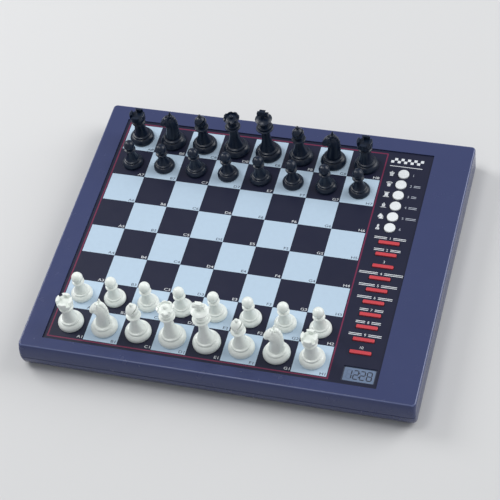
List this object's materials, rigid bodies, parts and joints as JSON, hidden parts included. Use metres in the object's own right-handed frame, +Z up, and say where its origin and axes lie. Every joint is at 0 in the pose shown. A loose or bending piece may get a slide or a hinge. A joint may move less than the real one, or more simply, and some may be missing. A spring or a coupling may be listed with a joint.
{
  "type": "electronic chess computer",
  "caption": "Flat tabletop chess computer with a pressure sensing board, round and bar keys, a small display, a battery bay and a set of loose chessmen.",
  "frame": {"origin": "under the middle of the casing, on the surface that the rubber feet stand on", "axes": "+X along the ranks towards the control strip, +Y away from the player, +Z up"},
  "size_m": [0.272, 0.224, 0.0667],
  "materials": {
    "casing_blue": "satin moulded plastic with a fine grain",
    "overlay_print": "printed plastic sheet, satin gloss",
    "sensor_film": "clear amber polyester foil",
    "display_glass": "display glass over a grey reflector",
    "circuit_green": "lacquered glass fibre board",
    "mat_rubber": "matt silicone rubber",
    "cell_metal": "steel can in a dark printed sleeve with an ochre band",
    "contact_steel": "plated spring steel",
    "foot_rubber": "matt rubber",
    "screw_steel": "zinc plated steel",
    "key_white": "smooth moulded plastic",
    "key_red": "smooth moulded plastic",
    "chessman_white": "polished ivory-white plastic",
    "chessman_black": "polished black plastic"
  },
  "bodies": {
    "casing": {"top_housing": "casing_blue", "bottom_housing": "casing_blue", "board_overlay": "overlay_print", "sensor_sheet": "sensor_film", "display_cell": "display_glass", "circuit_board": "circuit_green", "key_mat": "mat_rubber", "battery_cells": "cell_metal", "battery_contacts": "contact_steel", "rubber_feet": "foot_rubber", "case_screws": "screw_steel"},
    "battery_door": {"battery_door": "casing_blue"},
    "key_king": {"key_king": "key_white"},
    "key_queen": {"key_queen": "key_white"},
    "key_rook": {"key_rook": "key_white"},
    "key_bishop": {"key_bishop": "key_white"},
    "key_knight": {"key_knight": "key_white"},
    "key_pawn": {"key_pawn": "key_white"},
    "function_key_1": {"function_key_1": "key_red"},
    "function_key_2": {"function_key_2": "key_red"},
    "function_key_3": {"function_key_3": "key_red"},
    "function_key_4": {"function_key_4": "key_red"},
    "function_key_5": {"function_key_5": "key_red"},
    "function_key_6": {"function_key_6": "key_red"},
    "function_key_7": {"function_key_7": "key_red"},
    "function_key_8": {"function_key_8": "key_red"},
    "function_key_9": {"function_key_9": "key_red"},
    "function_key_10": {"function_key_10": "key_red"},
    "white_rook_a": {"white_rook_a": "chessman_white"},
    "white_knight_b": {"white_knight_b": "chessman_white"},
    "white_bishop_c": {"white_bishop_c": "chessman_white"},
    "white_queen": {"white_queen": "chessman_white"},
    "white_king": {"white_king": "chessman_white"},
    "white_bishop_f": {"white_bishop_f": "chessman_white"},
    "white_knight_g": {"white_knight_g": "chessman_white"},
    "white_rook_h": {"white_rook_h": "chessman_white"},
    "white_pawn_a": {"white_pawn_a": "chessman_white"},
    "white_pawn_b": {"white_pawn_b": "chessman_white"},
    "white_pawn_c": {"white_pawn_c": "chessman_white"},
    "white_pawn_d": {"white_pawn_d": "chessman_white"},
    "white_pawn_e": {"white_pawn_e": "chessman_white"},
    "white_pawn_f": {"white_pawn_f": "chessman_white"},
    "white_pawn_g": {"white_pawn_g": "chessman_white"},
    "white_pawn_h": {"white_pawn_h": "chessman_white"},
    "black_rook_a": {"black_rook_a": "chessman_black"},
    "black_knight_b": {"black_knight_b": "chessman_black"},
    "black_bishop_c": {"black_bishop_c": "chessman_black"},
    "black_queen": {"black_queen": "chessman_black"},
    "black_king": {"black_king": "chessman_black"},
    "black_bishop_f": {"black_bishop_f": "chessman_black"},
    "black_knight_g": {"black_knight_g": "chessman_black"},
    "black_rook_h": {"black_rook_h": "chessman_black"},
    "black_pawn_a": {"black_pawn_a": "chessman_black"},
    "black_pawn_b": {"black_pawn_b": "chessman_black"},
    "black_pawn_c": {"black_pawn_c": "chessman_black"},
    "black_pawn_d": {"black_pawn_d": "chessman_black"},
    "black_pawn_e": {"black_pawn_e": "chessman_black"},
    "black_pawn_f": {"black_pawn_f": "chessman_black"},
    "black_pawn_g": {"black_pawn_g": "chessman_black"},
    "black_pawn_h": {"black_pawn_h": "chessman_black"}
  },
  "joints": [
    {"name": "battery_door_slide", "type": "slide", "parent": "casing", "child": "battery_door", "axis": [0, 1, 0], "range_m": [0, 0.064]},
    {"name": "key_king_press", "type": "slide", "parent": "casing", "child": "key_king", "axis": [0, 0, -1], "range_m": [0, 0.0008], "stiffness_N_per_m": 900},
    {"name": "key_queen_press", "type": "slide", "parent": "casing", "child": "key_queen", "axis": [0, 0, -1], "range_m": [0, 0.0008], "stiffness_N_per_m": 900},
    {"name": "key_rook_press", "type": "slide", "parent": "casing", "child": "key_rook", "axis": [0, 0, -1], "range_m": [0, 0.0008], "stiffness_N_per_m": 900},
    {"name": "key_bishop_press", "type": "slide", "parent": "casing", "child": "key_bishop", "axis": [0, 0, -1], "range_m": [0, 0.0008], "stiffness_N_per_m": 900},
    {"name": "key_knight_press", "type": "slide", "parent": "casing", "child": "key_knight", "axis": [0, 0, -1], "range_m": [0, 0.0008], "stiffness_N_per_m": 900},
    {"name": "key_pawn_press", "type": "slide", "parent": "casing", "child": "key_pawn", "axis": [0, 0, -1], "range_m": [0, 0.0008], "stiffness_N_per_m": 900},
    {"name": "function_key_1_press", "type": "slide", "parent": "casing", "child": "function_key_1", "axis": [0, 0, -1], "range_m": [0, 0.0008], "stiffness_N_per_m": 900},
    {"name": "function_key_2_press", "type": "slide", "parent": "casing", "child": "function_key_2", "axis": [0, 0, -1], "range_m": [0, 0.0008], "stiffness_N_per_m": 900},
    {"name": "function_key_3_press", "type": "slide", "parent": "casing", "child": "function_key_3", "axis": [0, 0, -1], "range_m": [0, 0.0008], "stiffness_N_per_m": 900},
    {"name": "function_key_4_press", "type": "slide", "parent": "casing", "child": "function_key_4", "axis": [0, 0, -1], "range_m": [0, 0.0008], "stiffness_N_per_m": 900},
    {"name": "function_key_5_press", "type": "slide", "parent": "casing", "child": "function_key_5", "axis": [0, 0, -1], "range_m": [0, 0.0008], "stiffness_N_per_m": 900},
    {"name": "function_key_6_press", "type": "slide", "parent": "casing", "child": "function_key_6", "axis": [0, 0, -1], "range_m": [0, 0.0008], "stiffness_N_per_m": 900},
    {"name": "function_key_7_press", "type": "slide", "parent": "casing", "child": "function_key_7", "axis": [0, 0, -1], "range_m": [0, 0.0008], "stiffness_N_per_m": 900},
    {"name": "function_key_8_press", "type": "slide", "parent": "casing", "child": "function_key_8", "axis": [0, 0, -1], "range_m": [0, 0.0008], "stiffness_N_per_m": 900},
    {"name": "function_key_9_press", "type": "slide", "parent": "casing", "child": "function_key_9", "axis": [0, 0, -1], "range_m": [0, 0.0008], "stiffness_N_per_m": 900},
    {"name": "function_key_10_press", "type": "slide", "parent": "casing", "child": "function_key_10", "axis": [0, 0, -1], "range_m": [0, 0.0008], "stiffness_N_per_m": 900},
    {"name": "white_rook_a_lift", "type": "slide", "parent": "casing", "child": "white_rook_a", "axis": [0, 0, 1], "range_m": [0, 0.06]},
    {"name": "white_knight_b_lift", "type": "slide", "parent": "casing", "child": "white_knight_b", "axis": [0, 0, 1], "range_m": [0, 0.06]},
    {"name": "white_bishop_c_lift", "type": "slide", "parent": "casing", "child": "white_bishop_c", "axis": [0, 0, 1], "range_m": [0, 0.06]},
    {"name": "white_queen_lift", "type": "slide", "parent": "casing", "child": "white_queen", "axis": [0, 0, 1], "range_m": [0, 0.06]},
    {"name": "white_king_lift", "type": "slide", "parent": "casing", "child": "white_king", "axis": [0, 0, 1], "range_m": [0, 0.06]},
    {"name": "white_bishop_f_lift", "type": "slide", "parent": "casing", "child": "white_bishop_f", "axis": [0, 0, 1], "range_m": [0, 0.06]},
    {"name": "white_knight_g_lift", "type": "slide", "parent": "casing", "child": "white_knight_g", "axis": [0, 0, 1], "range_m": [0, 0.06]},
    {"name": "white_rook_h_lift", "type": "slide", "parent": "casing", "child": "white_rook_h", "axis": [0, 0, 1], "range_m": [0, 0.06]},
    {"name": "white_pawn_a_lift", "type": "slide", "parent": "casing", "child": "white_pawn_a", "axis": [0, 0, 1], "range_m": [0, 0.06]},
    {"name": "white_pawn_b_lift", "type": "slide", "parent": "casing", "child": "white_pawn_b", "axis": [0, 0, 1], "range_m": [0, 0.06]},
    {"name": "white_pawn_c_lift", "type": "slide", "parent": "casing", "child": "white_pawn_c", "axis": [0, 0, 1], "range_m": [0, 0.06]},
    {"name": "white_pawn_d_lift", "type": "slide", "parent": "casing", "child": "white_pawn_d", "axis": [0, 0, 1], "range_m": [0, 0.06]},
    {"name": "white_pawn_e_lift", "type": "slide", "parent": "casing", "child": "white_pawn_e", "axis": [0, 0, 1], "range_m": [0, 0.06]},
    {"name": "white_pawn_f_lift", "type": "slide", "parent": "casing", "child": "white_pawn_f", "axis": [0, 0, 1], "range_m": [0, 0.06]},
    {"name": "white_pawn_g_lift", "type": "slide", "parent": "casing", "child": "white_pawn_g", "axis": [0, 0, 1], "range_m": [0, 0.06]},
    {"name": "white_pawn_h_lift", "type": "slide", "parent": "casing", "child": "white_pawn_h", "axis": [0, 0, 1], "range_m": [0, 0.06]},
    {"name": "black_rook_a_lift", "type": "slide", "parent": "casing", "child": "black_rook_a", "axis": [0, 0, 1], "range_m": [0, 0.06]},
    {"name": "black_knight_b_lift", "type": "slide", "parent": "casing", "child": "black_knight_b", "axis": [0, 0, 1], "range_m": [0, 0.06]},
    {"name": "black_bishop_c_lift", "type": "slide", "parent": "casing", "child": "black_bishop_c", "axis": [0, 0, 1], "range_m": [0, 0.06]},
    {"name": "black_queen_lift", "type": "slide", "parent": "casing", "child": "black_queen", "axis": [0, 0, 1], "range_m": [0, 0.06]},
    {"name": "black_king_lift", "type": "slide", "parent": "casing", "child": "black_king", "axis": [0, 0, 1], "range_m": [0, 0.06]},
    {"name": "black_bishop_f_lift", "type": "slide", "parent": "casing", "child": "black_bishop_f", "axis": [0, 0, 1], "range_m": [0, 0.06]},
    {"name": "black_knight_g_lift", "type": "slide", "parent": "casing", "child": "black_knight_g", "axis": [0, 0, 1], "range_m": [0, 0.06]},
    {"name": "black_rook_h_lift", "type": "slide", "parent": "casing", "child": "black_rook_h", "axis": [0, 0, 1], "range_m": [0, 0.06]},
    {"name": "black_pawn_a_lift", "type": "slide", "parent": "casing", "child": "black_pawn_a", "axis": [0, 0, 1], "range_m": [0, 0.06]},
    {"name": "black_pawn_b_lift", "type": "slide", "parent": "casing", "child": "black_pawn_b", "axis": [0, 0, 1], "range_m": [0, 0.06]},
    {"name": "black_pawn_c_lift", "type": "slide", "parent": "casing", "child": "black_pawn_c", "axis": [0, 0, 1], "range_m": [0, 0.06]},
    {"name": "black_pawn_d_lift", "type": "slide", "parent": "casing", "child": "black_pawn_d", "axis": [0, 0, 1], "range_m": [0, 0.06]},
    {"name": "black_pawn_e_lift", "type": "slide", "parent": "casing", "child": "black_pawn_e", "axis": [0, 0, 1], "range_m": [0, 0.06]},
    {"name": "black_pawn_f_lift", "type": "slide", "parent": "casing", "child": "black_pawn_f", "axis": [0, 0, 1], "range_m": [0, 0.06]},
    {"name": "black_pawn_g_lift", "type": "slide", "parent": "casing", "child": "black_pawn_g", "axis": [0, 0, 1], "range_m": [0, 0.06]},
    {"name": "black_pawn_h_lift", "type": "slide", "parent": "casing", "child": "black_pawn_h", "axis": [0, 0, 1], "range_m": [0, 0.06]}
  ]
}
